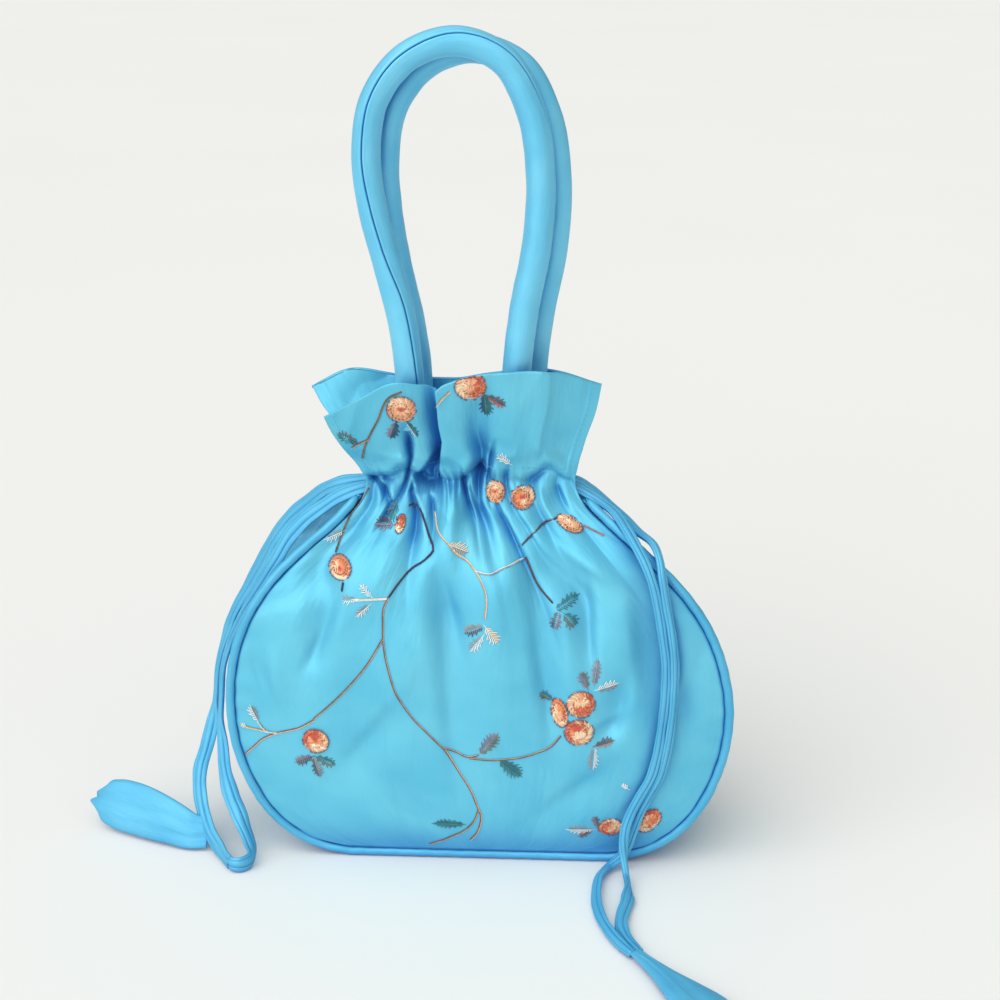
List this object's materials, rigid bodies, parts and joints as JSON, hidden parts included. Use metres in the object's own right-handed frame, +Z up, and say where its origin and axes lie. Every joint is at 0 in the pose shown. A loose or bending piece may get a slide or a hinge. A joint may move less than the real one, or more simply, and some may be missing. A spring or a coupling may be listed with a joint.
{
  "type": "satin drawstring pouch handbag",
  "caption": "Small satin evening pouch with a gathered drawstring neck, a frilled mouth, padded loop handles and leaf-ended strings, standing upright.",
  "frame": {"origin": "on the floor under the middle of the pouch", "axes": "+Z up along the handles, +X to the right of the front panel, -Y out of the front panel"},
  "size_m": [0.2847, 0.2016, 0.3555],
  "materials": {
    "panel_satin": "satin",
    "gusset_satin": "satin",
    "piping_satin": "satin",
    "handle_satin": "satin",
    "string_satin": "satin",
    "embroidery_thread": "silky thread",
    "sewing_thread": "matt thread"
  },
  "bodies": {
    "root": {"front_panel": "panel_satin", "back_panel": "panel_satin", "gusset": "gusset_satin", "front_piping": "piping_satin", "back_piping": "piping_satin", "front_handle": "handle_satin", "back_handle": "handle_satin", "left_strand_outer": "string_satin", "left_strand_inner": "string_satin", "right_strand_outer": "string_satin", "right_strand_inner": "string_satin", "left_leaf_end": "string_satin", "right_leaf_end": "string_satin"}
  },
  "joints": []
}
